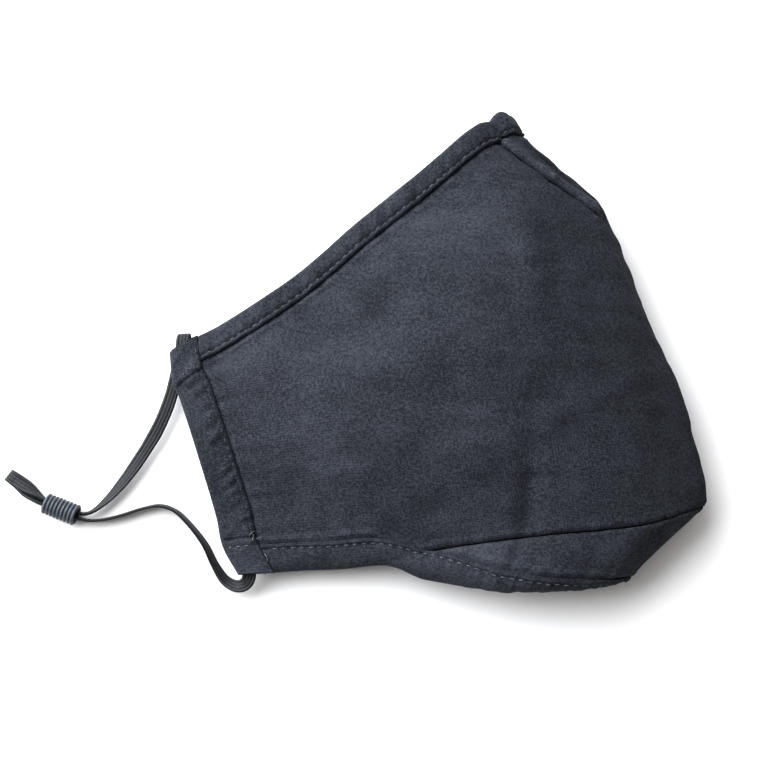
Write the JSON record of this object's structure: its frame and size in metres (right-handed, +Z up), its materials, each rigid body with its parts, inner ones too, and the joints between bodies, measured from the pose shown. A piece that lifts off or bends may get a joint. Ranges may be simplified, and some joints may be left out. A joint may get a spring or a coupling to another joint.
{
  "type": "cloth face mask",
  "caption": "Contoured fabric face mask folded in half and lying on its side, with elastic ear loops, ribbed cord locks and bound edges.",
  "frame": {"origin": "on the surface the mask lies on, under the middle of the cloth's box", "axes": "+X from the ear edges to the centre fold, +Y from the chin to the nose bridge, +Z up, away from the surface"},
  "size_m": [0.2193, 0.1518, 0.0329],
  "materials": {
    "mask_cloth": "plain-woven charcoal cotton, stitched in two layers",
    "elastic": "flat knitted elastic with lengthwise ribs",
    "lock": "ribbed grey silicone"
  },
  "bodies": {
    "root": {"front_panel": "mask_cloth", "chin_panel": "mask_cloth", "top_band": "mask_cloth", "bottom_band": "mask_cloth", "ear_casing_left": "mask_cloth", "ear_casing_right": "mask_cloth", "ear_elastic_left": "elastic", "ear_elastic_right": "elastic", "cord_lock_left": "lock", "cord_lock_right": "lock"}
  },
  "joints": []
}
